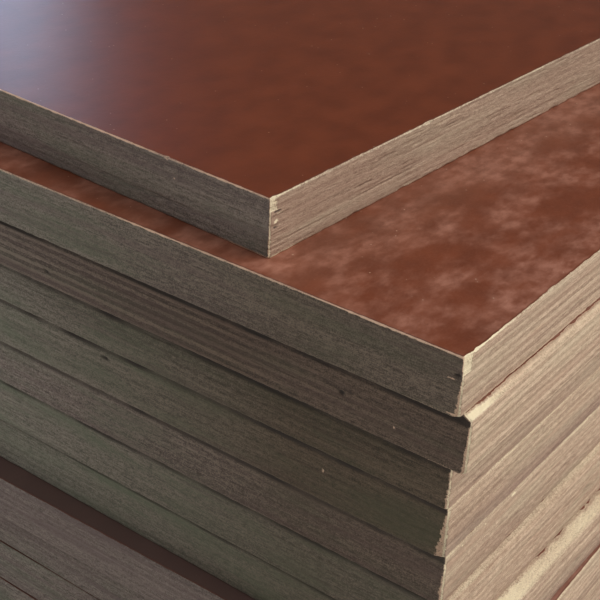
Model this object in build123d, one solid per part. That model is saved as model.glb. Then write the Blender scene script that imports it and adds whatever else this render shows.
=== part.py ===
from build123d import *
import os
import random

# A stack of film-faced birch plywood sheets, lying flat as they were put down:
# millimetres, +Z up, origin at the middle of the stack's footprint on the floor.
# +X is the long way of the sheets. The near corner is the one at +X, -Y.

# One sheet, as it is sold
SHEET_LENGTH = 2440.0
SHEET_WIDTH = 1220.0
SHEET_THICKNESS = 18.0
PLY_COUNT = 13
PLY_THICKNESS = SHEET_THICKNESS / PLY_COUNT

# The saw leaves a crisp edge, and handling takes this much off its arris
ARRIS = 0.4

# Corners get knocked. Each ply breaks back from the sharp corner by its own amount,
# and a ply breaks further along its grain than across it.
BREAK_LEAST = 0.3
BREAK_ACROSS_GRAIN = 1.0
BREAK_ALONG_GRAIN = 2.0

# Near corners that took a harder knock: for each sheet, counted from the floor, the first
# and last ply, how far these two break back along the length, and how far all of them
# break back across the width. Plies are counted from the underside, starting at 0.
KNOCKS = {
    14: [(0, 9, 0.5, 0.3, 0.8), (10, 12, 0.4, 0.4, 3.6)],
    13: [(0, 8, 1.7, 0.4, 0.9), (9, 12, 0.5, 0.5, 4.3)],
    12: [(0, 10, 1.5, 0.8, 0.9), (11, 12, 0.3, 0.3, 0.6)],
    11: [(0, 10, 0.9, 0.5, 0.9), (11, 12, 0.8, 1.0, 4.7)],
    10: [(0, 12, 2.9, 0.6, 1.2)],
    9: [(0, 12, 1.5, 0.3, 1.0)],
}
KNOCK_UNEVENNESS = 0.25

# The saw came out at the near end of some sheets, and tore their top ply back from it
TORN_BACK = {12: 2.2, 8: 3.2, 7: 4.0}

# How each sheet lies, from the floor up: how far its near corner is slid along the
# length and across the width from the stack's square corner, and its turn in degrees.
LAY = [
    (-2.0, 6.0, 0.10),
    (1.5, 3.0, -0.15),
    (-3.0, 7.0, 0.05),
    (0.5, 8.4, 0.20),
    (2.6, 8.0, -0.10),
    (6.8, 7.3, 1.20),
    (3.3, 11.4, -0.25),
    (-1.6, 11.4, 0.00),
    (-4.3, 11.0, 0.10),
    (-4.4, 9.4, 0.05),
    (-4.3, 8.1, 0.00),
    (2.4, 2.6, -0.10),
    (0.0, 0.0, 0.00),
    (-66.5, 8.2, -2.80),
]


def corner_wedge(end_x, side_y, back_x, back_y, bottom, top):
    """The piece that one ply, or its share of the height, loses at one corner."""
    outward_x = 1 if end_x == 0 else -1
    outward_y = -1 if side_y == 0 else 1
    past = 2 * PLY_THICKNESS
    run = (back_x**2 + back_y**2) ** 0.5
    past_x = past * back_x / run
    past_y = past * back_y / run
    outline = [
        (end_x - outward_x * (back_x + past_x), side_y + outward_y * past_y),
        (end_x + outward_x * past_x, side_y - outward_y * (back_y + past_y)),
        (end_x + outward_x * past, side_y + outward_y * past),
    ]
    face = make_face(Polyline(*outline, close=True))
    return extrude(Pos(0, 0, bottom) * face, amount=top - bottom, dir=(0, 0, 1))


def chance_break(ply, chance):
    """How far an ordinary corner breaks back at one ply, along and across the sheet."""
    grain_along_length = ply % 2 == 0
    reach_x = BREAK_ALONG_GRAIN if grain_along_length else BREAK_ACROSS_GRAIN
    reach_y = BREAK_ACROSS_GRAIN if grain_along_length else BREAK_ALONG_GRAIN
    return chance.uniform(BREAK_LEAST, reach_x), chance.uniform(BREAK_LEAST, reach_y)


def knocked_break(ply, knocks, chance):
    """The same for a corner that took a harder knock."""
    for first, last, first_x, last_x, back_y in knocks:
        if first <= ply <= last:
            share = (ply - first) / max(last - first, 1)
            back_x = first_x + share * (last_x - first_x)
            uneven_x = chance.uniform(1 - KNOCK_UNEVENNESS, 1 + KNOCK_UNEVENNESS)
            uneven_y = chance.uniform(1 - KNOCK_UNEVENNESS, 1 + KNOCK_UNEVENNESS)
            return back_x * uneven_x, back_y * uneven_y
    return chance_break(ply, chance)


def broken_corner(end_x, side_y, knocks, chance):
    """One wedge for each ply, from the underside up."""
    wedges = []
    for ply in range(PLY_COUNT):
        back_x, back_y = knocked_break(ply, knocks, chance)
        bottom = ply * PLY_THICKNESS
        top = bottom + PLY_THICKNESS
        if ply == 0:
            bottom -= PLY_THICKNESS
        if ply == PLY_COUNT - 1:
            top += PLY_THICKNESS
        wedges.append(corner_wedge(end_x, side_y, back_x, back_y, bottom, top))
    return wedges


def torn_top_ply(back):
    """The sloping strip that the saw tore off the top ply along the near end."""
    low = SHEET_THICKNESS - PLY_THICKNESS
    slope = PLY_THICKNESS / back
    past = 2 * PLY_THICKNESS
    outline = [
        (past, low - past * slope),
        (past, low + past),
        (-back - past, low + PLY_THICKNESS + past * slope),
    ]
    profile = make_face(Polyline(*[Vector(x, 0, z) for x, z in outline], close=True))
    return extrude(Pos(0, -past, 0) * profile, amount=SHEET_WIDTH + 2 * past, dir=(0, 1, 0))


def plywood_sheet(number):
    """One sheet with its near corner at the origin, lying towards -X and +Y."""
    blank = Pos(-SHEET_LENGTH / 2, SHEET_WIDTH / 2, SHEET_THICKNESS / 2) * Box(
        SHEET_LENGTH, SHEET_WIDTH, SHEET_THICKNESS
    )
    rims = blank.faces().sort_by(Axis.Z)[0].edges() + blank.faces().sort_by(Axis.Z)[-1].edges()
    blank = chamfer(rims, ARRIS)
    chance = random.Random(number)
    cuts = []
    for end_x in (0, -SHEET_LENGTH):
        for side_y in (0, SHEET_WIDTH):
            near = end_x == 0 and side_y == 0
            cuts += broken_corner(end_x, side_y, KNOCKS.get(number, []) if near else [], chance)
    if number in TORN_BACK:
        cuts.append(torn_top_ply(TORN_BACK[number]))
    return blank - cuts


def laid_sheets():
    """Every sheet on top of the one before it, each slid and turned as it lies."""
    sheets = []
    for level, (slide_x, slide_y, turn) in enumerate(LAY):
        place = Pos(slide_x, slide_y, level * SHEET_THICKNESS) * Rot(0, 0, turn)
        sheets.append(place * plywood_sheet(level + 1))
    return sheets


def centred(sheets):
    """The stack moved so that the middle of its footprint is over the origin."""
    points = [vertex.center() for sheet in sheets for vertex in sheet.vertices()]
    middle_x = (min(p.X for p in points) + max(p.X for p in points)) / 2
    middle_y = (min(p.Y for p in points) + max(p.Y for p in points)) / 2
    return [Pos(-middle_x, -middle_y, 0) * sheet for sheet in sheets]


os.makedirs("parts", exist_ok=True)
for level, sheet in enumerate(centred(laid_sheets())):
    export_step(sheet, f"parts/sheet_{level + 1:02d}.step")
    print(f"sheet_{level + 1:02d}", len(sheet.solids()), "solid", round(sheet.volume / 1e6, 3), "litres")
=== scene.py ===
# %% [markdown]
# # A stack of film-faced birch plywood
#
# The real object is a pile of loose sheets, each 2440 x 1220 x 18 mm. A sheet is thirteen
# birch veneers, glued with the grain of each across the one below. A dark red-brown paper,
# soaked in phenolic resin, is hot-pressed onto both faces. The saw that trims the sheet
# leaves bare wood all round. The photo looks down on one corner of the pile.
#
# The solids of the sheets come from the CAD model and set every size and place here. What
# is left for Blender is what the saw, the press and handling did to them.

# %% Load the frame
import math

import bpy
import numpy as np
from mathutils import Matrix, Vector
from mathutils.geometry import convex_hull_2d


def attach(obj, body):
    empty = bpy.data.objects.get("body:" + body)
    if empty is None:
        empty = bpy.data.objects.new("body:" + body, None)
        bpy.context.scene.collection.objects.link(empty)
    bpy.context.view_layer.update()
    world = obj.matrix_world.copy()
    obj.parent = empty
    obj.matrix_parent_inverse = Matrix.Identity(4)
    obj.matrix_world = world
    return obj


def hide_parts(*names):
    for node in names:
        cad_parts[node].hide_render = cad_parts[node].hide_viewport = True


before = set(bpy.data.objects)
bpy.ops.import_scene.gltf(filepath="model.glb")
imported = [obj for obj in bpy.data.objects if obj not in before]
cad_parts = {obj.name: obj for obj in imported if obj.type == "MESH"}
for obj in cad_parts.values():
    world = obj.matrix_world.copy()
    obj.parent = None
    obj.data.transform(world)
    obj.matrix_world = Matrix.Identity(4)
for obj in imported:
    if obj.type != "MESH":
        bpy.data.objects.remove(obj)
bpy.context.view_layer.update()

sheet_names = sorted(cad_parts)
print("sheets:", len(sheet_names))

# %% [markdown]
# ## Where each sheet lies
#
# Every sheet was put down by hand, so each one is slid and turned a little. The mesh of a
# CAD sheet stands in the frame's own axes. To work on a sheet as a joiner would, measured
# from its near corner, we first find its turn. The outline seen from above is a rectangle
# with clipped corners, so the longest side of its hull is a long edge of the sheet.

# %% Measure the lay of the sheets
MM = 0.001


def sheet_points(name):
    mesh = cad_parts[name].data
    points = np.empty(len(mesh.vertices) * 3)
    mesh.vertices.foreach_get("co", points)
    return points.reshape(-1, 3) / MM


def lay_of(name):
    """The sheet's turn, its near corner in mm, and its length, width and thickness."""
    points = sheet_points(name)
    hull = points[convex_hull_2d([tuple(p) for p in points[:, :2]]), :2]
    sides = np.roll(hull, -1, axis=0) - hull
    longest = sides[np.argmax(np.hypot(sides[:, 0], sides[:, 1]))]
    turn = math.atan2(longest[1], longest[0])
    turn -= math.pi * round(turn / math.pi)
    along = np.array([math.cos(turn), math.sin(turn)])
    across = np.array([-math.sin(turn), math.cos(turn)])
    u = points[:, :2] @ along
    v = points[:, :2] @ across
    near = along * u.max() + across * v.min()
    size = (np.ptp(u), np.ptp(v), np.ptp(points[:, 2]))
    return {"turn": turn, "corner": (near[0], near[1], points[:, 2].min()), "size": size}


lays = {name: lay_of(name) for name in sheet_names}
for name, lay in lays.items():
    print(name, "turned", round(math.degrees(lay["turn"]), 2), "deg, corner", np.round(lay["corner"], 1))

# %% [markdown]
# ## The camera
#
# The photo is a close-up with a long lens, from about a third of a metre. Its place was
# worked out from the edges of the sheets in the photo, against the 18 mm thickness of a
# sheet. It is given from the near top corner of the second sheet from the top, which is
# the sharpest point of the photo.

# %% Place the camera
FOCUS_SHEET = sheet_names[-2]
CAMERA_FROM_CORNER = Vector((130.0, -252.9, 178.0)) * MM
AZIMUTH, ELEVATION, ROLL = (math.radians(angle) for angle in (35.39, 30.19, 2.67))
LENS, SENSOR = 82.99, 36.0   # mm

x, y, z = lays[FOCUS_SHEET]["corner"]
focus_corner = Vector((x, y, z + lays[FOCUS_SHEET]["size"][2])) * MM
back = Vector((
    math.sin(AZIMUTH) * math.cos(ELEVATION),
    -math.cos(AZIMUTH) * math.cos(ELEVATION),
    math.sin(ELEVATION),
))
level_right = (-back).cross(Vector((0, 0, 1))).normalized()
level_up = level_right.cross(-back)
right = math.cos(ROLL) * level_right + math.sin(ROLL) * level_up
up = math.cos(ROLL) * level_up - math.sin(ROLL) * level_right

camera = bpy.data.objects.new("camera", bpy.data.cameras.new("camera"))
bpy.context.collection.objects.link(camera)
camera.data.lens = LENS
camera.data.sensor_width = SENSOR
camera.data.clip_start = 0.01
turning = Matrix((right, up, back)).transposed().to_4x4()
camera.matrix_world = Matrix.Translation(focus_corner + CAMERA_FROM_CORNER) @ turning
bpy.context.scene.camera = camera
print("camera", round(CAMERA_FROM_CORNER.length, 3), "m from the near corner")

# %% [markdown]
# ## Colours and nodes
#
# Colours are written as they look on a screen, in sRGB hex. Shaders want linear light, so
# one function turns them. Another adds a node, sets its inputs and links what feeds it, so
# that a material below reads as a list of what happens to the surface. A third lays random
# patches at a real size.
#
# All finishes here are read in board coordinates: millimetres from the near corner of their
# own sheet, kept on each mesh as an attribute, so that a pattern can be as large as the real
# one. A second attribute, the look, tells one sheet from another. On the film it holds dust,
# and dirt with painted shade. On a sawn edge it holds green, grime with painted shade, and
# how clearly the plies show.

# %% Colour and node helpers
SMOOTH = {"interpolation_type": "SMOOTHSTEP"}
COLOURS = {"data_type": "RGBA"}  # a Mix node of colours: 0 is the factor, 6 and 7 the colours
FLAT = 1.0  # the pattern's size in the direction that a flat face doesn't show


def linear(hex_colour):
    parts = [int(hex_colour[i:i + 2], 16) / 255 for i in (1, 3, 5)]
    return [c / 12.92 if c <= 0.04045 else ((c + 0.055) / 1.055) ** 2.4 for c in parts] + [1.0]


def add_node(tree, kind, inputs=(), output=0, **settings):
    """Adds a node, sets it, feeds its inputs with values or links, and returns one output."""
    node = tree.nodes.new("ShaderNode" + kind)
    for name, value in settings.items():
        setattr(node, name, value)
    for name, value in inputs.items() if isinstance(inputs, dict) else enumerate(inputs):
        if isinstance(value, bpy.types.NodeSocket):
            tree.links.new(value, node.inputs[name])
        else:
            node.inputs[name].default_value = value
    return node.outputs[output] if node.outputs else node


def new_material(name):
    """An empty material, its node tree, the board coordinates and the three parts of the look."""
    material = bpy.data.materials.new(name)
    material.use_nodes = True
    tree = material.node_tree
    tree.nodes.clear()
    place = add_node(tree, "Attribute", output="Vector", attribute_name="board_mm")
    look = add_node(tree, "Attribute", output="Vector", attribute_name="sheet_look")
    look_parts = add_node(tree, "SeparateXYZ", [look]).node.outputs
    return material, tree, place, look_parts


def mottling(tree, place, sizes, detail=3.0, roughness=0.55):
    """Soft random patches from 0 to 1, each about as large as sizes says, in mm."""
    scaled = add_node(tree, "Mapping", {"Vector": place, "Scale": [1 / size for size in sizes]})
    inputs = {"Vector": scaled, "Scale": 1.0, "Detail": detail, "Roughness": roughness}
    return add_node(tree, "TexNoise", inputs)


print("mid grey #808080 is", round(linear("#808080")[0], 3), "in linear light")

# %% [markdown]
# ## The film
#
# Phenolic film is kraft paper soaked in resin, hot-pressed against a steel plate. The eye
# sees a dark red-brown with the cloudy formation of paper under a satin skin. Sheets that
# are dragged over each other leave pale, dusty scuffs, and a few specks of wood dust stay
# on it. The resin's IOR is about 1.5.
#
# A painted texture would show its pixels from this close, so the clouds, fibres and scuffs
# are noise, each at its own real size. One thing to know about gloss: the denoiser of Cycles
# takes a surface for a mirror below a roughness of about 0.274. Haze that moves the roughness
# to and fro across that value shows as specks, so the clean film starts just above it.

# %% Colours and sizes of the film
FILM_RED = linear("#743A23")      # the paper's clouds, from the lighter
FILM_BROWN = linear("#612F1C")    # to the darker
FILM_SCUFF = linear("#B47E6A")    # a haze of fine scratches, with dust in them
WOOD_DUST = linear("#D8BFA8")     # single specks
FILM_DIRT_AND_SHADE = linear("#5A4A47")     # dirt and painted shade on the strips that a sheet leaves bare
FORMATION_MM = (9.0, 14.4)        # the clouds of the paper
PAPER_FIBRE_MM = (0.6, 1.08)      # real fibres are 0.03 mm wide and wouldn't show
RUB_MM = (17.0, 30.0)             # sheets are dragged across their length
WIPED_MM = (3.6, 6.4)             # streaks inside a rubbed patch
SCRATCH_MM = (7.0, 0.35)          # hairlines along the length, drawn as coarse as they show
SPECK_APART_MM = 5.0
SPECK_RADIUS = (0.03, 0.06)       # full and gone, as a share of their distance
PEEL_MM = 1.6                     # the faint orange peel of a pressed skin
PEEL_DEEP, FIBRE_DEEP = 0.02 * MM, 0.012 * MM
FILM_ROUGHNESS, HAZE_ADDS = 0.28, 0.25
print("paper fibres are drawn", round(PAPER_FIBRE_MM[0] / 0.03), "times as wide as they are")

# %% Pressed phenolic film


def film_haze(tree, place, fibres, dusty):
    """How pale scuffs and dust make the film: everywhere a little, and more in rubbed patches."""
    rubbed = mottling(tree, place, (*RUB_MM, FLAT), 4.0, 0.6)
    rubbed = add_node(tree, "Math", [dusty, 0.3, rubbed], operation="MULTIPLY_ADD")
    rubbed = add_node(tree, "MapRange", [rubbed, 0.6, 0.86], **SMOOTH)
    wiped = mottling(tree, place, (*WIPED_MM, FLAT), 4.0, 0.6)
    wiped = add_node(tree, "MapRange", [wiped, 0.32, 0.72, 0.12, 0.62], **SMOOTH)
    scratches = mottling(tree, place, (*SCRATCH_MM, FLAT), 2.0)
    scratches = add_node(tree, "MapRange", [scratches, 0.66, 0.8, 0.0, 0.5], **SMOOTH)
    wiped = add_node(tree, "Math", [wiped, scratches], operation="MAXIMUM")
    scuffs = add_node(tree, "Math", [rubbed, wiped], operation="MULTIPLY")
    streaks = add_node(tree, "MapRange", [fibres, 0.4, 0.9, 0.07, 0.27], **SMOOTH)
    return add_node(tree, "Math", [dusty, streaks, scuffs], operation="MULTIPLY_ADD")


def make_film():
    material, tree, place, (dusty, dirty_and_shaded, _) = new_material("phenolic_film_hot_pressed")
    clouds = mottling(tree, place, (*FORMATION_MM, FLAT), 4.0)
    softness = add_node(tree, "MapRange", [dusty, -0.1, 0.7, 0.33, 0.27])
    least = add_node(tree, "Math", [0.5, softness], operation="SUBTRACT")
    most = add_node(tree, "Math", [0.5, softness], operation="ADD")
    clouds = add_node(tree, "MapRange", [clouds, least, most], **SMOOTH)
    colour = add_node(tree, "Mix", {0: clouds, 6: FILM_BROWN, 7: FILM_RED}, 2, **COLOURS)
    fibres = mottling(tree, place, (*PAPER_FIBRE_MM, FLAT), 3.0, 0.65)
    haze = film_haze(tree, place, fibres, dusty)
    colour = add_node(tree, "Mix", {0: haze, 6: colour, 7: FILM_SCUFF}, 2, **COLOURS)

    spread = add_node(tree, "Mapping", {"Vector": place, "Scale": [1 / SPECK_APART_MM] * 3})
    nearest = add_node(tree, "TexVoronoi", {"Vector": spread, "Scale": 1.0, "Randomness": 1.0})
    specks = add_node(tree, "MapRange", [nearest, *SPECK_RADIUS, 0.5, 0.0], **SMOOTH)
    colour = add_node(tree, "Mix", {0: specks, 6: colour, 7: WOOD_DUST}, 2, **COLOURS)
    # dirt and painted shade on strips of film left bare between sheets
    colour = add_node(tree, "Mix", {0: dirty_and_shaded, 6: colour, 7: FILM_DIRT_AND_SHADE}, 2, **COLOURS)

    roughness = add_node(tree, "Math", [haze, HAZE_ADDS, FILM_ROUGHNESS], operation="MULTIPLY_ADD")
    peel = mottling(tree, place, (PEEL_MM, PEEL_MM, FLAT), 2.0)
    normal = add_node(tree, "Bump", {"Height": peel, "Distance": PEEL_DEEP})
    normal = add_node(tree, "Bump", {"Height": fibres, "Distance": FIBRE_DEEP, "Normal": normal})
    inputs = {"Base Color": colour, "Roughness": roughness, "Normal": normal, "IOR": 1.5}
    add_node(tree, "OutputMaterial", [add_node(tree, "BsdfPrincipled", inputs)])
    return material


film = make_film()
print("made", film.name)

# %% [markdown]
# ## The sawn edges
#
# A trimmed edge shows all thirteen plies. Where the grain of a ply runs along the edge, the
# saw leaves long fibres, smooth and pale. Where it runs into the edge, the saw cuts the
# fibres through, and the open ends take up dirt and look dark and speckled. By that rule the
# pale and dark plies would swap from the long sides to the ends. On most sheets in the photo
# they don't seem to, so both finishes start with a pale ply at the film.
#
# The plies could be thirteen strips of mesh with two materials. One sine wave over the
# height does the same, and lets the lines waver as real veneers do. The long sides stood in the
# weather and greyed, while the ends are cleaner. The long sides are also darker as painted
# shade, as they face away from the bright side of the hall. One function makes both finishes,
# told which way the edge runs.

# %% Sizes of the sawn wood
PLY_COUNT = 13
SHEET_THICKNESS = lays[FOCUS_SHEET]["size"][2]
PLY = SHEET_THICKNESS / PLY_COUNT
# each pattern's size along the edge and up it, in mm
FIBRE_MM = (7.0, 0.28)     # bundles of fibres. A single one is 0.02 mm wide and wouldn't show
TUFT_MM = (2.6, 0.8)       # fibres that the saw lifted
BAND_MM = (70.0, 1.3)      # veneers differ from each other
BROAD_MM = (160.0, 6.0)    # and so does the whole edge from place to place
WAVER_MM = (24.0, 9.0)
PORE_MM = 0.42             # a birch vessel is 0.1 mm wide and wouldn't show
FIBRE_RELIEF, TUFT_RELIEF, PORE_RELIEF = 0.12 * MM, 0.3 * MM, 0.16 * MM
STAIN_AND_SHADE = linear("#2A211B")  # a knot, a pit, or the dirt and painted shade of a crevice
print("a ply is", round(PLY, 3), "mm thick")

# %% Plies and glue lines


def along_edge(run, sizes):
    """The three sizes of a pattern, where run is 0 or 1 for an edge along x or along y."""
    return [sizes[0] if axis == run else FLAT for axis in (0, 1)] + [sizes[1]]


def ply_pattern(tree, place, run):
    """The plies, from -0.5 where dark to 0.5 where pale, and the dark glue lines between them."""
    waver = mottling(tree, place, along_edge(run, WAVER_MM), 2.0)
    height = add_node(tree, "SeparateXYZ", [place], 2)
    height = add_node(tree, "Math", [waver, 0.3 * PLY, height], operation="MULTIPLY_ADD")
    phase = add_node(tree, "Math", [height, math.pi / PLY], operation="MULTIPLY")
    wave = add_node(tree, "Math", [phase], operation="SINE")
    plies = add_node(tree, "MapRange", [wave, -0.35, 0.35, -0.5, 0.5], **SMOOTH)
    off_line = add_node(tree, "Math", [wave], operation="ABSOLUTE")
    return plies, add_node(tree, "MapRange", [off_line, 0.04, 0.22, 0.3, 0.0], **SMOOTH)


print("the sine wave turns over once in", round(2 * PLY, 2), "mm")

# %% [markdown]
# A real edge is never one colour. Fibres, tufts, bands and pores each make it a little
# lighter or darker, and shares say how much. Tints then lie over it in patches: a grey-green
# and a dull plum on the long sides, a straw and a tan on the ends. Sawn wood has no gloss, so
# its roughness is high, and what the eye sees is colour and fine relief.
#
# Two more attributes of the mesh steer the colour. Where the first is 1, the wood was
# freshly torn and is pale, or a highlight is painted along a lit arris. Where the other
# is 1, a knot or a pit is nearly black, or shade is painted in a crevice.

# %% Sawn birch


def torn_stained_and_painted_light(tree, colour, pores, torn_wood_and_highlight):
    """Lays freshly torn wood and painted highlights over the colour, ragged at their rim, and then the
    dark stains and painted crevice shade.
    """
    torn_and_highlight = add_node(tree, "Attribute", output="Fac", attribute_name="torn_and_highlight")
    ragged = add_node(tree, "MapRange", [pores, 0.3, 0.7, -0.35, 0.35])
    ragged = add_node(tree, "Math", [ragged, torn_and_highlight], operation="ADD")
    ragged = add_node(tree, "MapRange", [ragged, 0.25, 0.85], **SMOOTH)
    ragged = add_node(tree, "Math", [ragged, torn_and_highlight], operation="MULTIPLY")
    colour = add_node(tree, "Mix", {0: ragged, 6: colour, 7: torn_wood_and_highlight}, 2, **COLOURS)
    stained_and_shaded = add_node(tree, "Attribute", output="Fac", attribute_name="stained_and_shaded")
    return add_node(tree, "Mix", {0: stained_and_shaded, 6: colour, 7: STAIN_AND_SHADE}, 2, **COLOURS)


def make_sawn(
    name, run, pale, dark, grime_and_shade, torn_wood_and_highlight, fibre_share, band_share, pore_share, ply_share, tints
):
    """run is 0 where the edge runs with the board's length and 1 where it runs across."""
    material, tree, place, (greened, grimy_and_shaded, open_plies) = new_material(name)
    fibres = mottling(tree, place, along_edge(run, FIBRE_MM), 4.0, 0.62)
    tufts = mottling(tree, place, along_edge(run, TUFT_MM), 3.0, 0.6)
    bands = mottling(tree, place, along_edge(run, BAND_MM), 2.0)
    broad = mottling(tree, place, along_edge(run, BROAD_MM), 2.0)
    pores = mottling(tree, place, (PORE_MM, PORE_MM, PORE_MM), 3.0, 0.7)
    plies, glue_line = ply_pattern(tree, place, run)

    light = 0.5
    patterns = (fibres, tufts, bands, broad, pores)
    shares = (fibre_share, fibre_share, band_share, band_share, pore_share)
    for pattern, share in zip(patterns, shares):
        spread = add_node(tree, "MapRange", [pattern, 0.25, 0.75, -share, share])
        light = add_node(tree, "Math", [light, spread], operation="ADD")
    contrast = add_node(tree, "Math", [open_plies, 0.55, ply_share], operation="MULTIPLY_ADD")
    light = add_node(tree, "Math", [plies, contrast, light], operation="MULTIPLY_ADD")
    colour = add_node(tree, "Mix", {0: light, 6: dark, 7: pale}, 2, **COLOURS)
    for tint, sizes, strength, leaning in tints:
        patch = mottling(tree, place, along_edge(run, sizes), 3.0)
        patch = add_node(tree, "MapRange", [patch, 0.42, 0.68, 0.0, strength], **SMOOTH)
        leaned = [greened, leaning, patch]
        patch = add_node(tree, "Math", leaned, operation="MULTIPLY_ADD", use_clamp=True)
        colour = add_node(tree, "Mix", {0: patch, 6: colour, 7: tint}, 2, **COLOURS)
    colour = add_node(tree, "Mix", {0: glue_line, 6: colour, 7: dark}, 2, **COLOURS)
    # grime, and painted shade that darkens the long side towards the near corner
    soiled_and_shaded = {0: grimy_and_shaded, 6: colour, 7: grime_and_shade}
    colour = add_node(tree, "Mix", soiled_and_shaded, 2, blend_type="MULTIPLY", **COLOURS)
    colour = torn_stained_and_painted_light(tree, colour, pores, torn_wood_and_highlight)

    normal = add_node(tree, "Bump", {"Height": fibres, "Distance": FIBRE_RELIEF})
    normal = add_node(tree, "Bump", {"Height": tufts, "Distance": TUFT_RELIEF, "Normal": normal})
    normal = add_node(tree, "Bump", {"Height": pores, "Distance": PORE_RELIEF, "Normal": normal})
    inputs = {"Base Color": colour, "Roughness": 0.85, "Normal": normal, "IOR": 1.5}
    add_node(tree, "OutputMaterial", [add_node(tree, "BsdfPrincipled", inputs)])
    return material


# a tint: colour, its size along and up the edge in mm, strength, and how it answers to green
sawn_side_weathered_and_shaded = make_sawn(
    "birch_ply_sawn_side_with_painted_shade", run=0,
    pale=linear("#A2968C"), dark=linear("#584F49"),     # birch that weathered to grey, darker still as painted shade
    grime_and_shade=linear("#93703E"), torn_wood_and_highlight=linear("#D9B79C"),
    fibre_share=0.45, band_share=0.2, pore_share=0.75, ply_share=0.04,
    tints=[
        (linear("#6C7560"), (60.0, 11.0), 0.45, 0.5),
        (linear("#72605F"), (90.0, 3.0), 0.5, -0.5),
    ],
)
sawn_end = make_sawn(
    "birch_ply_sawn_end", run=1,
    pale=linear("#D6BEA4"), dark=linear("#967B67"),     # birch that stayed pale, and its pores
    grime_and_shade=linear("#9C8892"), torn_wood_and_highlight=linear("#ECDFBE"),
    fibre_share=0.34, band_share=0.24, pore_share=0.42, ply_share=0.1,
    tints=[
        (linear("#B8AD92"), (50.0, 9.0), 0.35, 0.5),
        (linear("#A98974"), (140.0, 4.0), 0.45, -0.5),
    ],
)
print("made", sawn_side_weathered_and_shaded.name, "and", sawn_end.name)

# %% [markdown]
# ## The shape of a sheet up close
#
# The camera is so near that the sheet needs real relief: the film's chipped rim, veneers
# torn at the saw cut, and a corner broken ply by ply. A sculpted or displaced cube would
# spend its faces evenly over 2.4 m. Instead the skin is a net. Its columns go once round
# the sheet, packed close by the corner that the camera sees and spread out further away.
# Its rows go from the film on top, down the sawn edge and under the sheet. Each point then
# knows how far it is from the corner, and can be moved by a rule.

# %% Columns round the sheet
FRONT, RIGHT, BACK, LEFT = range(4)
SIDE = 4                # a column holds x, y, the way inwards along x and y, and its side
INWARD = slice(2, 4)
# from a corner: the first step, how much steps widen for each mm, how far that goes on, and
# how much they widen from there
FRONT_STEPS = (0.3, 0.004, 240, 0.06)
RIGHT_STEPS = (0.3, 0.006, 200, 0.06)
FAR_STEPS = (1.0, 0.17, 60, 0.17)


def steps(length, first, widening, near, later_widening, coarseness=1.0):
    """Distances from a corner in mm, closest together where they start."""
    marks = [0.0]
    while marks[-1] < length:
        at = marks[-1]
        near_step = first * coarseness + widening * coarseness * at
        marks.append(at + (near_step if at < near else later_widening * at))
    marks[-1] = length
    if marks[-1] - marks[-2] < 0.5 * (marks[-2] - marks[-3]):
        del marks[-2]
    return np.array(marks)


def meet(near_marks, far_marks, length):
    """Marks from both corners of one side, joined where the two step sizes are alike."""
    far = length - far_marks[::-1]
    near_step = np.interp(far, near_marks[:-1], np.diff(near_marks))
    far_step = np.interp(far, far[:-1], np.diff(far))
    first_far = np.argmax(far_step < near_step)
    kept = near_marks[near_marks < far[first_far] - 0.5 * far_step[first_far]]
    return np.concatenate([kept, far[first_far:]])


def round_the_sheet(length, width, coarseness):
    """Columns on the sharp outline, from the far end along the front and on round the sheet."""
    far_length = steps(length, *FAR_STEPS)
    far_width = steps(width, *FAR_STEPS)
    front = meet(steps(length, *FRONT_STEPS, coarseness), far_length, length)
    right_hand = meet(steps(width, *RIGHT_STEPS, coarseness), far_width, width)
    behind = meet(far_length, far_length, length)
    left_hand = meet(far_width, far_width, width)
    columns = [(-d, 0.0, 0.0, 1.0, FRONT) for d in front[::-1][:-1]]
    columns += [(0.0, d, -1.0, 0.0, RIGHT) for d in right_hand[:-1]]
    columns += [(-d, width, 0.0, -1.0, BACK) for d in behind[:-1]]
    columns += [(-length, d, 1.0, 0.0, LEFT) for d in left_hand[::-1][:-1]]
    return np.array(columns)


example = round_the_sheet(*lays[FOCUS_SHEET]["size"][:2], 1.0)
print("columns round a fine sheet:", len(example))

# %% [markdown]
# Rows follow the plies: up to four to each, two of them right beside the glue lines, so that
# one ply can stand back from the next with a crisp step. More lie close to each film, where
# the arris chips and where the saw tore the top ply.

# %% Rows down the edge
GLUE_GAP = 0.04
ARRIS_ROWS = (0.0, 0.1, 0.22, 0.38, 0.6, 0.85, 1.1)
ARRIS_ZONE = 1.2


def rows_down(thickness, per_ply):
    """Heights of the rows in mm, from the film on top down."""
    marks = list(ARRIS_ROWS) + [thickness - row for row in ARRIS_ROWS]
    for ply in range(PLY_COUNT):
        inner = np.linspace(ply * PLY + GLUE_GAP, (ply + 1) * PLY - GLUE_GAP, per_ply)
        marks += [z for z in inner if ARRIS_ZONE < z < thickness - ARRIS_ZONE]
    return np.array(sorted(marks, reverse=True))


print("rows down a fine edge:", len(rows_down(SHEET_THICKNESS, 4)))

# %% [markdown]
# Wood never breaks evenly. Smooth random patches, made here from a lattice of random
# numbers, drive how deep each thing goes. They are seeded, so every run gives the same
# sheet, and every sheet has its own.

# %% Random patches for the mesh
LATTICE = 256
ABOVE_ZERO = 5000.0     # mm, added to distances that run below zero


def ease(share):
    return share * share * (3 - 2 * share)


def patches(chance, u, v, size_u, size_v):
    """Smooth values from 0 to 1 at (u, v), in patches of about size_u by size_v."""
    lattice = chance.random((LATTICE + 1, LATTICE + 1))
    i = np.floor(u / size_u).astype(int)
    j = np.floor(v / size_v).astype(int)
    u_share = ease(u / size_u - i)
    v_share = ease(v / size_v - j)
    i = i % LATTICE
    j = j % LATTICE
    low = lattice[i, j] * (1 - u_share) + lattice[i + 1, j] * u_share
    high = lattice[i, j + 1] * (1 - u_share) + lattice[i + 1, j + 1] * u_share
    return low * (1 - v_share) + high * v_share


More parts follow.
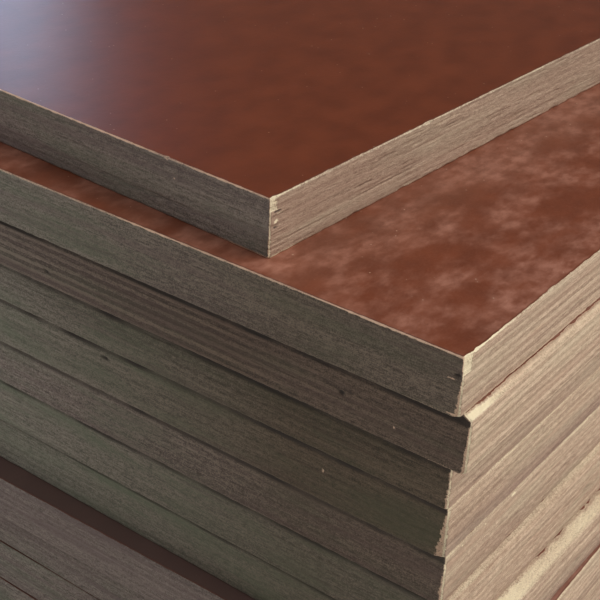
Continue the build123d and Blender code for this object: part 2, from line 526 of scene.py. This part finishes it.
def line_patches(chance, s, size):
    """The same along a line, at each distance s."""
    return patches(chance, s, s * 0, size, 1.0)


print("a few patches:", np.round(line_patches(np.random.default_rng(1), np.arange(5.0), 2.0), 2))

# %% [markdown]
# ## What the CAD sheet says
#
# The CAD model breaks each ply back from the corner by its own amount, and on some sheets
# the saw tore the top ply back from the near end. Both are read from its mesh, so that the
# net has them in the same place: the upright edges of one ply stand where its break meets
# the two sides, and the film's rim at the near end stands where the torn slope ends.

# %% Read the broken corners and the torn ends
UNREAD_BREAK = 1.0      # mm, for a ply whose upright edges can't be told
# what counts as an upright edge of one ply, and as lying on a face or by a corner, in mm
LEANS, TALL, MIDDLE_OF_PLY = 0.01, 0.5, 0.3
ON_FACE, BY_A_CORNER = 0.02, 40


def sheet_edges(name):
    """The two ends of every edge of the CAD mesh, in mm from the sheet's near corner."""
    points = sheet_points(name) - np.array(lays[name]["corner"])
    c = math.cos(lays[name]["turn"])
    s = math.sin(lays[name]["turn"])
    along = points[:, 0] * c + points[:, 1] * s
    across = points[:, 1] * c - points[:, 0] * s
    local = np.stack([along, across, points[:, 2]], 1)
    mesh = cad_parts[name].data
    ends = np.empty(len(mesh.edges) * 2, int)
    mesh.edges.foreach_get("vertices", ends)
    return local[ends[0::2]], local[ends[1::2]]


def corner_breaks(name):
    """For each corner and ply, how far the break reaches along x and along y, in mm."""
    length, width, _ = lays[name]["size"]
    start, end = sheet_edges(name)
    run = np.abs(start - end)
    upright = (np.hypot(run[:, 0], run[:, 1]) < LEANS) & (run[:, 2] > TALL)
    middle = (start + end)[upright] / 2
    found = np.full((2, 2, PLY_COUNT, 2), UNREAD_BREAK)
    for at_far_x, at_far_y in ((0, 0), (0, 1), (1, 0), (1, 1)):
        u = np.abs(middle[:, 0] + at_far_x * length)
        v = np.abs(middle[:, 1] - at_far_y * width)
        for ply in range(PLY_COUNT):
            here = np.abs(middle[:, 2] - (ply + 0.5) * PLY) < MIDDLE_OF_PLY
            on_side = here & (v < ON_FACE) & (u < BY_A_CORNER)
            on_end = here & (u < ON_FACE) & (v < BY_A_CORNER)
            if on_side.any() and on_end.any():
                found[at_far_x, at_far_y, ply] = u[on_side].min(), v[on_end].min()
    return found


def torn_back(name):
    """How far the film on top stands back from the near end, in mm."""
    start, _ = sheet_edges(name)
    on_top = start[:, 2] > lays[name]["size"][2] - ON_FACE
    return -start[on_top, 0].max()


breaks = {name: corner_breaks(name) for name in sheet_names}
tears = {name: torn_back(name) for name in sheet_names}
print("near corner of", FOCUS_SHEET, "breaks back, top ply first:")
print(np.round(breaks[FOCUS_SHEET][0, 0, ::-1], 1).tolist())
print("film stands back by", {name: round(float(tear), 1) for name, tear in tears.items()})

# %% [markdown]
# ## Relief of the edges
#
# Now come the rules that bend the net. All of them take wood away, so the sheet stays
# inside its own outline. The first is for the arris, where the film meets the sawn edge.
# Film and veneer are brittle there, so it is worn round and chipped. On the ends the saw ran
# across the grain of the face ply, which chips more readily than along it.

# %% Worn and chipped arrises
ARRIS = 0.42            # mm, how far in from the edge it is worn
# side: mean spacing, greatest length and greatest depth of its chips, in mm
CHIPS = {
    FRONT: (26.0, 5.0, 0.7),
    RIGHT: (4.5, 6.0, 0.8),
    BACK: (26.0, 5.0, 0.7),
    LEFT: (8.0, 9.0, 1.1),
}
SHORTEST_HALF = 0.3


def ramp(value, zero_at, one_at):
    """0 up to the one value, 1 from the other on, and a straight line between them."""
    return np.clip((value - zero_at) / (one_at - zero_at), 0, 1)


def hollow(off):
    """How deep a round hollow is: 1 in its middle, and 0 from its rim on, where off is 1."""
    return np.clip(1 - off**2, 0, 1) ** 0.5


def chips(chance, s, spacing, longest, deepest):
    """Chips along a line: how deep the arris has gone at each distance s."""
    depth = np.zeros_like(s)
    where = s.min()
    while where < s.max():
        where += chance.exponential(spacing)
        half = chance.uniform(0.15, 1.0) ** 2 * longest / 2 + SHORTEST_HALF
        deep = chance.uniform(0.3, 1.0) * deepest * min(1.0, half)
        depth = np.maximum(depth, deep * hollow((s - where) / half))
    return depth


def worn_arris(chance, columns, along):
    """How far in from the edge the arris has gone at each column, in mm."""
    gone = ARRIS * (0.75 + 0.5 * line_patches(chance, along + ABOVE_ZERO, 1.3))
    for side, (spacing, longest, deepest) in CHIPS.items():
        here = columns[:, SIDE] == side
        gone[here] = np.maximum(gone[here], chips(chance, along[here], spacing, longest, deepest))
    return gone


def rounding(gone, from_film):
    """The inset of a worn arris at each row, given how far each row lies from the film."""
    return gone[:, None] * ramp(from_film[None], gone[:, None] * 1.1, 0) ** 0.8


print("chips per metre of the near end:", round(1000 / CHIPS[RIGHT][0]))

# %% [markdown]
# The saw also tore the top ply of some sheets back from the near end. The CAD has that as
# a plain slope, and here it becomes ragged. On the sawn faces, the plies whose grain runs
# into the edge stand back a hair, and splinters have come out here and there, deeper on the
# ends than on the long sides.

# %% Torn ends and sawn plies
TORN_FROM = 1.0         # mm, a film that stands back by less is only chamfered
RUNS_ON = {8: 1.3}      # sheet counted from the top: its tear reaches this many times as far
LEAST_RELIEF = 0.02
CUT_ACROSS_BACK = 0.03
WANDER, WANDER_MM = 0.04, 30.0
ROUGH, ROUGH_MM = 0.05, (1.6, 0.5)
ROUGH_AT = 300.0        # mm, an offset into the patches
GAP_MM = (12.0, 0.6)
GAP_IN_END, GAP_IN_SIDE = 0.5, 0.1


def torn_slope(chance, from_top, back, columns, along, from_film):
    """The inset of a top ply that the saw tore back from the near end."""
    back = back * RUNS_ON.get(from_top, 1.0) if back > TORN_FROM else 0.0
    ragged = 0.82 + 0.22 * line_patches(chance, along, 0.8)
    ragged += 0.28 * line_patches(chance, along, 4.0)
    rise = ramp(from_film, PLY, 0)
    return back * ragged[:, None] * rise[None] * (columns[:, SIDE] == RIGHT)[:, None]


def sawn_relief(chance, columns, along, z):
    """How far each point of the sawn edge stands back, and how deep it is torn, in mm."""
    s, level = np.meshgrid(along + ABOVE_ZERO, z, indexing="ij")
    ply = np.clip(np.floor(level / PLY), 0, PLY_COUNT - 1)
    is_end = np.isin(columns[:, SIDE], (RIGHT, LEFT))[:, None]
    cut_across = (ply + is_end) % 2 == 1
    wander = patches(chance, s, ply + 0.5, WANDER_MM, 1.0)
    rough = patches(chance, s, level + ROUGH_AT, *ROUGH_MM)
    relief = LEAST_RELIEF + CUT_ACROSS_BACK * cut_across + WANDER * wander + ROUGH * rough
    gaps = patches(chance, s, ply * 7.0 + level, *GAP_MM)
    deep = ramp(gaps, 0.8, 1.0) * np.where(is_end, GAP_IN_END, GAP_IN_SIDE)
    return relief + deep, deep


print("torn sheets:", [name for name, tear in tears.items() if tear > TORN_FROM])

# %% [markdown]
# ## Corners
#
# Two insets meet at a corner. If each side only moved straight in, the net would cross
# itself there, so near a corner each column also moves along its side by what the other
# side loses. The breaks of the plies come on top, each along its own slanting line.

# %% Corner rules
CORNER_REACH = 14.0


def meet_at_corners(columns, size, inset):
    """The move of every point, straight in and along its side near the corners."""
    length, width, _ = size
    move = columns[:, None, INWARD] * inset[..., None]
    corners = {
        (FRONT, RIGHT): (0, 0),
        (RIGHT, BACK): (0, width),
        (BACK, LEFT): (-length, width),
        (LEFT, FRONT): (-length, 0),
    }
    for sides, (x, y) in corners.items():
        distance = np.abs(columns[:, 0] - x) + np.abs(columns[:, 1] - y)
        for side, other in (sides, sides[::-1]):
            others = np.flatnonzero(columns[:, SIDE] == other)
            nearest = others[np.argmin(distance[others])]
            share = np.where(columns[:, SIDE] == side, ramp(distance, CORNER_REACH, 0), 0)
            move += share[:, None, None] * columns[nearest, INWARD] * inset[nearest][None, :, None]
    return move


def corner_cut(chance, columns, size, sheet_breaks, z):
    """How far each point moves diagonally inwards to lie on its ply's break, and which way."""
    length, width, thickness = size
    far_x = (-columns[:, 0] > length / 2).astype(int)
    far_y = (columns[:, 1] > width / 2).astype(int)
    u = np.abs(columns[:, 0] + far_x * length)[:, None]
    v = np.abs(columns[:, 1] - far_y * width)[:, None]
    ply = np.clip((z / thickness * PLY_COUNT).astype(int), 0, PLY_COUNT - 1)
    reach = sheet_breaks[far_x, far_y][:, ply]
    ragged = 0.8 + 0.4 * patches(chance, u + 2 * v + 40, 0 * u + z * 9, 0.5, 1.0)
    reach_x = reach[..., 0] * ragged
    reach_y = reach[..., 1] * ragged
    cut = np.clip((1 - u / reach_x - v / reach_y) / (1 / reach_x + 1 / reach_y), 0, None)
    way = np.stack([np.where(far_x, 1.0, -1.0), np.where(far_y, -1.0, 1.0)], 1)
    return cut[..., None] * way[:, None]


print("corners meet over", CORNER_REACH, "mm")

# %% [markdown]
# ## Marks that the photo shows
#
# Random wear gives the right kind of surface. A few marks catch the eye, so they are put
# where the photo has them: two chips in the rim of the top sheet, dark pits and knots in
# the sawn edges, and pale spots where a splinter came off. The dark notch by the near corner
# of the second sheet is carved too, and its darkness is painted shade.

# %% Marks given one by one
PALE, DARK = "pale", "dark"
# sheet counted from the top: side, mm from the near corner, mm above the underside, half the
# length and half the height in mm
MARKS = {
    1: [
        (FRONT, 35.1, 12.4, 0.6, 0.5, PALE), (FRONT, 19.0, 8.0, 0.5, 0.4, PALE),
        (RIGHT, 3.6, 12.6, 1.6, 0.35, PALE), (RIGHT, 3.4, 13.4, 1.8, 0.3, DARK),
        (RIGHT, 2.6, 10.6, 1.3, 0.9, PALE), (RIGHT, 2.4, 8.8, 0.9, 0.3, DARK),
    ],
    2: [
        (FRONT, 3.4, 10.9, 2.2, 0.4, PALE), (FRONT, 2.0, 0.9, 2.6, 0.5, PALE),
        # the dark notch by the corner is carved, and its darkness is painted shade
        (FRONT, 1.6, 12.4, 1.3, 0.8, DARK),
    ],
    3: [
        (FRONT, 39.3, 8.9, 1.4, 0.9, DARK), (FRONT, 150.0, 4.9, 1.4, 0.8, DARK),
        (FRONT, 22.1, 5.4, 0.5, 0.5, PALE),
    ],
    5: [
        (FRONT, 126.0, 13.6, 1.7, 1.1, DARK), (FRONT, 41.0, 10.8, 0.7, 0.6, PALE),
        (FRONT, 6.0, 11.5, 0.5, 0.5, PALE),
    ],
    6: [
        (RIGHT, 38.0, 17.0, 1.6, 1.0, PALE), (RIGHT, 22.0, 16.0, 1.0, 0.7, PALE),
        (RIGHT, 9.0, 16.5, 0.9, 0.6, PALE),
    ],
}
PIT_DEPTH = 0.35
# sheet counted from the top: mm from the near corner along the long side, half length, depth
FRONT_CHIPS = {1: [(38.0, 0.9, 0.95), (52.0, 0.7, 0.6)]}


def marked(chance, from_top, columns, along, z):
    """How pale and how dark the marks make each point, from 0 to 1."""
    marks = {kind: np.zeros((len(columns), len(z))) for kind in (PALE, DARK)}
    s, level = np.meshgrid(along + ABOVE_ZERO, z, indexing="ij")
    ragged = 0.55 + 0.9 * patches(chance, s, level, 0.7, 0.5)
    for side, distance, height, half_length, half_height, kind in MARKS.get(from_top, []):
        off_x = (np.abs(along)[:, None] - distance) / half_length
        off_z = (z[None] - height) / half_height
        here = np.clip(1.8 * (1 - np.hypot(off_x, off_z) * ragged), 0, 1)
        here = here * (columns[:, SIDE] == side)[:, None]
        marks[kind] = np.maximum(marks[kind], here)
    return marks[PALE], marks[DARK]


print("marks by hand:", sum(len(marks) for marks in MARKS.values()))

# %% [markdown]
# ## Fresh and dusty breaks
#
# Freshly broken birch is nearly white, and dust takes that away over the weeks. The upper
# sheets were knocked lately, while the lower ones are dusty. A colour painted by hand could
# say that as well, but a rule follows the relief by itself: the deeper a scar, the more
# bare wood it shows. The same pale also paints a highlight along the top arris of the lower
# sheets' ends. Dirt collects in the crevice under the sheet above, and its shade is painted
# in with it.

# %% How clean the broken wood is, and a painted highlight
# sheet counted from the top: how clean its top and lower arrises are, from 0 to 1
CLEAN_ARRIS = {1: (0.9, 0.9), 2: (0.9, 0.45), 3: (0.35, 0.4)}
DUSTY_ARRIS = (0.12, 0.08)
END_ARRIS_HIGHLIGHT = 0.5  # a painted highlight on the top arris of the ends of the lower sheets, which are lit from the side
HIGHLIT_ENDS_BELOW = 3
# sheet counted from the top: how clean its torn end is near the corner and further on
CLEAN_TEAR = {3: (0.95, 0.3), 8: (0.8, 0.8)}
DUSTY_TEAR = (0.15, 0.15)
# where a rule starts and where it holds in full, in mm
BY_CORNER = (27.0, 9.0)
LOW_ARRIS_ZONE = (0.99, 0.44)
TOP_ARRIS_ZONE = (1.35, 0.6)
# how deep a scar is that shows all of its bare wood, in mm
BARE_ARRIS, BARE_TEAR, BARE_BREAK = 0.15, 0.25, 0.3
CLEAN_PATCH_MM = 17.0


def freshly_torn_and_highlit(chance, from_top, columns, along, z, from_film, scars):
    """How much pale bare wood, or painted highlight on the ends' top arris, each point of the edge
    shows, from 0 to 1.
    """
    clean_top, clean_low = CLEAN_ARRIS.get(from_top, DUSTY_ARRIS)
    near_clean, far_clean = CLEAN_TEAR.get(from_top, DUSTY_TEAR)
    by_corner = ramp(np.abs(along), *BY_CORNER)[:, None]
    patchy = 0.7 + 0.6 * line_patches(chance, along + ABOVE_ZERO, CLEAN_PATCH_MM)[:, None]
    on_end = (columns[:, SIDE] == RIGHT)[:, None]
    top = clean_top * patchy * (1 - 0.45 * on_end * (1 - by_corner))
    low = clean_low * patchy * (0.35 + 0.65 * by_corner)
    # a painted highlight along the top arris of the ends of the lower sheets
    painted_highlight = END_ARRIS_HIGHLIGHT * patchy * on_end * (from_top > HIGHLIT_ENDS_BELOW)
    tear = (far_clean + (near_clean - far_clean) * by_corner) * patchy
    under_film = np.maximum(ramp(from_film, 0, 0.4), 0.3)[None]
    torn_and_highlight = np.maximum.reduce([
        top * ramp(scars["arris"], 0, BARE_ARRIS),
        low * ramp(z, *LOW_ARRIS_ZONE)[None],
        painted_highlight * ramp(from_film, *TOP_ARRIS_ZONE)[None],
        tear * ramp(scars["tear"], 0, BARE_TEAR) * under_film,
        0.8 * ramp(scars["break"], 0, BARE_BREAK),
        0.35 * ramp(scars["gap"], 0, BARE_BREAK),
        scars["mark"],
    ])
    return np.clip(torn_and_highlight, 0, 1)


print("clean sheets, counted from the top:", sorted(CLEAN_ARRIS))

# %% Dirt and painted shade in the crevices
# sheet counted from the top: how far down its crevice is darkened by dirt and painted shade in mm, and
# how dark it is
DIRTY_SHADED_CREVICES = {3: (3.7, 0.95), 4: (6.7, 0.95), 5: (2.7, 0.7), 6: (3.0, 0.75), 7: (1.7, 0.6), 8: (1.4, 0.5)}
NO_CREVICE = (1.0, 0.0)
CREVICE_PATCH_MM = 9.0


def crevice_dirt_and_shade(chance, from_top, columns, along, from_film):
    """How dark the dirt and painted shade under the sheet above make each point of the long side."""
    reach, darkest = DIRTY_SHADED_CREVICES.get(from_top, NO_CREVICE)
    dirt_and_shade = darkest * ramp(from_film, reach, reach * 2 / 3)[None] * (columns[:, SIDE] == FRONT)[:, None]
    return dirt_and_shade * (0.5 + line_patches(chance, along + ABOVE_ZERO, CREVICE_PATCH_MM)[:, None])


print("dirty crevices:", len(DIRTY_SHADED_CREVICES))

# %% [markdown]
# ## Build the sheets
#
# For each sheet the rules give one inset for each point of the net, and the deepest of them
# counts. Random draws come in a fixed order, so that a sheet stays the same.

# %% Shape the edge of one sheet
SEED = 100
LOW_ARRIS_AT = 900.0    # mm, an offset into the patches


def shaped_edge(number, name, coarseness, per_ply):
    """The net of one sheet between its films: places, how torn they are with painted highlights, and how
    stained they are with painted shade.
    """
    from_top = len(sheet_names) - number
    size = lays[name]["size"]
    chance = np.random.default_rng(SEED + number)
    columns = round_the_sheet(*size[:2], coarseness)
    z = rows_down(size[2], per_ply)
    from_film = size[2] - z
    along = np.where(np.isin(columns[:, SIDE], (FRONT, BACK)), columns[:, 0], columns[:, 1])
    top_arris = worn_arris(chance, columns, along)
    low_arris = worn_arris(chance, columns, along + LOW_ARRIS_AT)
    for distance, half, depth in FRONT_CHIPS.get(from_top, []):
        chip = depth * hollow((along + distance) / half) * (columns[:, SIDE] == FRONT)
        top_arris = np.maximum(top_arris, chip)
    relief, gap = sawn_relief(chance, columns, along, z)
    top_scar = rounding(top_arris, from_film)
    low_scar = rounding(low_arris, z)
    tear = torn_slope(chance, from_top, tears[name], columns, along, from_film)
    pale, dark = marked(chance, from_top, columns, along, z)
    inset = np.maximum.reduce([relief + PIT_DEPTH * dark, top_scar, low_scar, tear])

    cut = corner_cut(chance, columns, size, breaks[name], z)
    move = meet_at_corners(columns, size, inset) + cut
    heights = np.broadcast_to(z[None, :, None], (*inset.shape, 1))
    edge = np.concatenate([columns[:, None, :2] + move, heights], 2)

    broken = np.abs(cut).sum(2)
    scars = {"arris": top_scar, "tear": tear, "break": broken, "gap": gap, "mark": pale}
    torn_and_highlight = freshly_torn_and_highlit(chance, from_top, columns, along, z, from_film, scars)
    # dirt and painted shade in the crevice under the sheet above
    dirt_and_shade = crevice_dirt_and_shade(chance, from_top, columns, along, from_film)
    return columns, edge, torn_and_highlight, np.maximum(dark, dirt_and_shade)


print("edge of a plain sheet:", shaped_edge(0, sheet_names[0], 16.0, 2)[1].shape)

# %% [markdown]
# A stack that stood in a yard isn't one colour. Rain and dust reached some sheets more than
# others, so each sheet has its own look. What it doesn't name comes from the plain look.
# The look also carries painted shade: it darkens the long side towards the near corner,
# and the strips of film left bare between sheets.
# The two sides away from the photo are guesses, a little cleaner than the ones it shows.

# %% How one sheet differs from the next
# dust, and dirt with painted shade, on the film, grime with painted shade on the long side and
# grime on the end by the corner and how far it reaches in mm, how clearly the plies show on
# both, whether the wood leans to the first tint (1) or to the second (-1), and how dark the
# lower half of the end is
PLAIN_LOOK = {
    "dust": 0.5, "film_dirt_and_shade": 0.85, "side_grime_and_shade": 0.55, "side_reach": 130.0, "end_grime": 0.1,
    "end_reach": 160.0, "side_plies": 0.1, "end_plies": 0.1, "green": 0.0, "low_shade": 0.22,
}
# sheet counted from the top: where it differs from the plain look
LOOKS = {
    1: {
        "dust": -0.1, "film_dirt_and_shade": 0.0, "green": -0.2, "side_grime_and_shade": 0.25, "end_grime": 0.38,
        "end_reach": 900.0, "end_plies": -0.4, "low_shade": 0.0,
    },
    2: {
        "dust": 0.7, "film_dirt_and_shade": 0.0, "green": 0.15, "side_grime_and_shade": 0.57, "end_grime": 0.14,
        "end_plies": 0.6, "low_shade": 0.1,
    },
    3: {
        "green": -0.2, "side_grime_and_shade": 0.685, "side_reach": 200.0, "side_plies": 1.0,
        "end_grime": 0.0, "end_plies": 0.45, "low_shade": 0.1,
    },
    4: {"green": 0.4, "side_grime_and_shade": 0.735, "end_grime": 0.15, "end_plies": 0.35, "low_shade": 0.2},
    5: {"green": 0.5, "side_grime_and_shade": 0.74, "end_grime": 0.05, "low_shade": 0.55},
    6: {"green": -0.1, "side_grime_and_shade": 0.64},
    7: {"green": 0.5},
    8: {"green": 0.7, "low_shade": 0.4},
    9: {"green": -0.6, "side_grime_and_shade": 0.25},
    10: {"green": -0.3, "side_grime_and_shade": 0.25},
}
OPEN_FILMS = 2          # the film of this many sheets is open to the eye on top
DUSTY_END_FILM = (1.7, 0.3)     # dust, and dirt with painted shade, of a covered film by its near end
CLEANER_FILM = (0.5, 0.15)      # the same on the two sides away from the photo
AWAY_GRIME = (0.1, 0.4)         # least and most
AWAY_PLIES = 0.4
SCATTER = 0.37          # from sheet to sheet, how far on the grime moves in that span
SIDE_FADE, END_FADE = (1.4, 0.4), (1.25, 0.25)  # gone and whole, as shares of the reach
LOW_SHADE_ZONE = (10.35, 1.35)  # mm above the underside, from none to the whole
PLIES_OPEN = (25.0, 85.0)       # mm from the corner, from least to most


def worn_look(from_top, columns, z, on_film):
    """For every point, dust, and dirt with painted shade, of the film, or green, grime with painted
    shade, and open plies of the edge.
    """
    look = {**PLAIN_LOOK, **LOOKS.get(from_top, {})}
    values = np.zeros((len(columns), len(z) + 2 * on_film, 3))
    side = columns[:, SIDE] == FRONT
    end = columns[:, SIDE] == RIGHT
    away = ~(side | end)
    values[..., 0] = look["dust"]
    # dirt and painted shade on the film, for the strips left bare between sheets
    values[..., 1] = look["film_dirt_and_shade"]
    if from_top > OPEN_FILMS:
        values[end, :, :2] = DUSTY_END_FILM
        values[away, :, :2] = CLEANER_FILM

    # the long side darkens towards the near corner: grime and painted shade
    side_fade = ramp(-columns[:, 0] / look["side_reach"], *SIDE_FADE)
    end_fade = ramp(columns[:, 1] / look["end_reach"], *END_FADE)
    least, most = AWAY_GRIME
    grime_and_shade = look["side_grime_and_shade"] * side * side_fade + look["end_grime"] * end * end_fade
    grime_and_shade = grime_and_shade + (least + (most - least) * (from_top * SCATTER % 1)) * away
    low_shade = look["low_shade"] * ramp(z, *LOW_SHADE_ZONE)[None] * end[:, None]
    opening = np.maximum(ramp(-columns[:, 0], *PLIES_OPEN), 0.15)
    open_plies = look["side_plies"] * opening * side + look["end_plies"] * end + AWAY_PLIES * away
    edge = slice(on_film, len(z) + on_film)
    values[:, edge, 0] = (look["green"] * side)[:, None]
    values[:, edge, 1] = np.clip(grime_and_shade[:, None] + low_shade, 0, 1)
    values[:, edge, 2] = open_plies[:, None]
    return values


print("sheets with a look of their own:", len(LOOKS))

# %% [markdown]
# The film closes the net above and below: a few rings run in from the rim, and one large
# face covers the rest. The mesh then gets its three materials, for the film, the long sides
# and the ends, and the values that steer them.

# %% Build one sheet as a mesh
FILM_RINGS = (0.6, 1.8, 5.0, 12.0)
FILM_SLOT, SIDE_SLOT, END_SLOT = range(3)
PATTERN_APART = (3170.0, 1730.0, 0.0)   # mm, so that no two sheets have the same pattern


def film_ring(rim, columns, size, ring, height):
    """One ring of the film, about as far in from the rim as ring says."""
    points = rim.copy()
    points[:, 0] -= (columns[:, 0] / size[0] + 0.5) * 2 * ring
    points[:, 1] += (0.5 - columns[:, 1] / size[1]) * 2 * ring
    points[:, 2] = height
    return points


def store(mesh, name, values):
    """Keeps one or three numbers for each point of the mesh, for the materials to read."""
    kind, field = ("FLOAT_VECTOR", "vector") if values.ndim == 3 else ("FLOAT", "value")
    mesh.attributes.new(name, kind, "POINT").data.foreach_set(field, values.reshape(-1))


def build_sheet(number, name, coarseness, per_ply):
    size = lays[name]["size"]
    columns, edge, torn_and_highlight, stained_and_shaded = shaped_edge(number, name, coarseness, per_ply)
    top_film = [film_ring(edge[:, 0], columns, size, ring, size[2]) for ring in FILM_RINGS[::-1]]
    low_film = [film_ring(edge[:, -1], columns, size, ring, 0.0) for ring in FILM_RINGS]
    net = np.stack(top_film + list(edge.swapaxes(0, 1)) + low_film, 1)
    count, rows = net.shape[:2]
    on_film = len(FILM_RINGS)

    i, j = np.meshgrid(np.arange(count), np.arange(rows - 1), indexing="ij")
    here = i * rows + j
    after = (i + 1) % count * rows + j
    quads = np.stack([here, here + 1, after + 1, after], -1).reshape(-1, 4)
    top_cap = list(range(0, count * rows, rows))
    low_cap = list(range(rows - 1, count * rows, rows))[::-1]
    mesh = bpy.data.meshes.new(name + "_board")
    mesh.from_pydata((net.reshape(-1, 3) * MM).tolist(), [], quads.tolist() + [top_cap, low_cap])

    is_film = (j < on_film) | (j >= rows - 1 - on_film)
    is_end = np.isin(columns[i, SIDE], (RIGHT, LEFT))
    slots = np.where(is_film, FILM_SLOT, np.where(is_end, END_SLOT, SIDE_SLOT)).reshape(-1)
    slots = np.concatenate([slots, [FILM_SLOT, FILM_SLOT]]).astype(np.int32)
    mesh.polygons.foreach_set("material_index", slots)
    mesh.polygons.foreach_set("use_smooth", slots != FILM_SLOT)
    for material in (film, sawn_side_weathered_and_shaded, sawn_end):
        mesh.materials.append(material)
    store(mesh, "board_mm", net + number * np.array(PATTERN_APART))
    store(mesh, "sheet_look", worn_look(len(sheet_names) - number, columns, edge[0, :, 2], on_film))
    for attribute, values in (("torn_and_highlight", torn_and_highlight), ("stained_and_shaded", stained_and_shaded)):
        store(mesh, attribute, np.pad(values, ((0, 0), (on_film, on_film))))
    mesh.update()

    board = bpy.data.objects.new(name + "_board", mesh)
    bpy.context.collection.objects.link(board)
    turning = Matrix.Rotation(lays[name]["turn"], 4, "Z")
    board.matrix_world = Matrix.Translation(Vector(lays[name]["corner"]) * MM) @ turning
    return board


print("the film runs in over", FILM_RINGS[-1], "mm before one face covers the rest")

# %% [markdown]
# The three sheets in front of the lens get the finest net. The ones below are seen at a
# slant and further off, and those that the photo cuts off need only the outline.

# %% Build the stack
IN_FRONT, SHOWN = 3, 9  # sheets in front of the lens, and sheets that the photo shows


def fineness(from_top):
    """How coarse a sheet's net is, against the finest, and how many rows a ply has."""
    if from_top <= IN_FRONT:
        return 1.0, 4
    if from_top <= SHOWN:
        return 1.8, 3
    return 16.0, 2


total = 0
for number, name in enumerate(sheet_names):
    board = build_sheet(number, name, *fineness(len(sheet_names) - number))
    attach(board, "root")
    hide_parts(name)
    board.data.calc_loop_triangles()
    total += len(board.data.loop_triangles)
    print(board.name, len(board.data.loop_triangles), "triangles")
print("all sheets:", total, "triangles")

# %% [markdown]
# ## Floor
#
# The stack stands on the floor of a hall, under pale matt paint. It is even and has no
# gloss, so it lends the sheets a soft light from below and draws no eye. One large square
# is enough, and it reaches so far that no view sees its end.

# %% Floor
FLOOR_HALF = 60.0
floor_mesh = bpy.data.meshes.new("floor")
corners = [(-1, -1), (1, -1), (1, 1), (-1, 1)]
floor_mesh.from_pydata([(x * FLOOR_HALF, y * FLOOR_HALF, 0.0) for x, y in corners], [], [(0, 1, 2, 3)])
floor = bpy.data.objects.new("floor", floor_mesh)
bpy.context.collection.objects.link(floor)
floor_paint = bpy.data.materials.new("pale_floor_paint_matt")
floor_paint.use_nodes = True
tree = floor_paint.node_tree
tree.nodes.clear()
shader = add_node(tree, "BsdfPrincipled", {"Base Color": linear("#DCDAD6"), "Roughness": 0.9})
add_node(tree, "OutputMaterial", [shader])
floor_mesh.materials.append(floor_paint)
print("floor", 2 * FLOOR_HALF, "m wide")

# %% [markdown]
# ## Light
#
# In the photo the bright side of a hall lies behind and to the right: the ends of the
# sheets are lit, and the long sides are in shade. Area lamps would fall off over 2.4 m, so
# all four lamps are suns, which light the whole stack evenly. The first is that bright
# side. The second is the roof's light, from high up behind. The third, from the left, keeps
# the far ends from going black. The last is a weak window far behind on the left, which
# gives the film its pale sheen in the distance.

# %% Lamps


def sun(name, azimuth, elevation, light, spread, colour="#FFFFFF"):
    """light is how bright a white face turned to the lamp looks, from 0 to 1."""
    a = math.radians(azimuth)
    e = math.radians(elevation)
    towards = Vector((math.sin(a) * math.cos(e), -math.cos(a) * math.cos(e), math.sin(e)))
    lamp = bpy.data.lights.new(name, "SUN")
    lamp.energy = light * math.pi
    lamp.angle = math.radians(spread)
    lamp.color = linear(colour)[:3]
    holder = bpy.data.objects.new(name, lamp)
    bpy.context.collection.objects.link(holder)
    holder.rotation_euler = towards.to_track_quat("Z", "Y").to_euler()
    holder.location = towards * 5


sun("bright_side_of_the_hall", 108, 32, 0.62, 50, "#FFF8EE")
sun("roof_light", 140, 58, 0.42, 40)
sun("far_end_fill", 300, 40, 0.3, 40)
sun("distant_window", 229, 18, 0.0245, 6, "#BBDAFF")
print("lamps:", len(bpy.data.lights))

# %% [markdown]
# ## The room
#
# The room around the stack is a pale cove under a dim roof. A glossy film mirrors what
# stands opposite the eye, so a pale roof would lay a grey veil over the dark film. The
# camera itself sees pale all round, and so would a ray through glass.

# %% World
ROOF_DIM = linear("#383634")
ROOM_PALE = linear("#F0F0F0")
COVE_FROM, COVE_TO = (math.sin(math.radians(angle)) for angle in (2.0, 9.0))
world = bpy.data.worlds.new("plain_room")
bpy.context.scene.world = world
world.use_nodes = True
tree = world.node_tree
tree.nodes.clear()
height = add_node(tree, "SeparateXYZ", [add_node(tree, "TexCoord", output="Generated")], 2)
cove = add_node(tree, "MapRange", [height, COVE_FROM, COVE_TO, 1.0, 0.0], **SMOOTH)
looked_at = add_node(tree, "LightPath", output="Is Camera Ray")
seen_through = add_node(tree, "LightPath", output="Is Transmission Ray")
looked_at = add_node(tree, "Math", [looked_at, seen_through], operation="MAXIMUM")
pale = add_node(tree, "Math", [looked_at, cove], operation="MAXIMUM")
colour = add_node(tree, "Mix", {0: pale, 6: ROOF_DIM, 7: ROOM_PALE}, 2, **COLOURS)
add_node(tree, "OutputWorld", [add_node(tree, "Background", {"Color": colour, "Strength": 1.0})])
bpy.context.scene.view_settings.view_transform = "Standard"
print("roof", [round(c, 3) for c in ROOF_DIM[:3]], "cove", [round(c, 3) for c in ROOM_PALE[:3]])
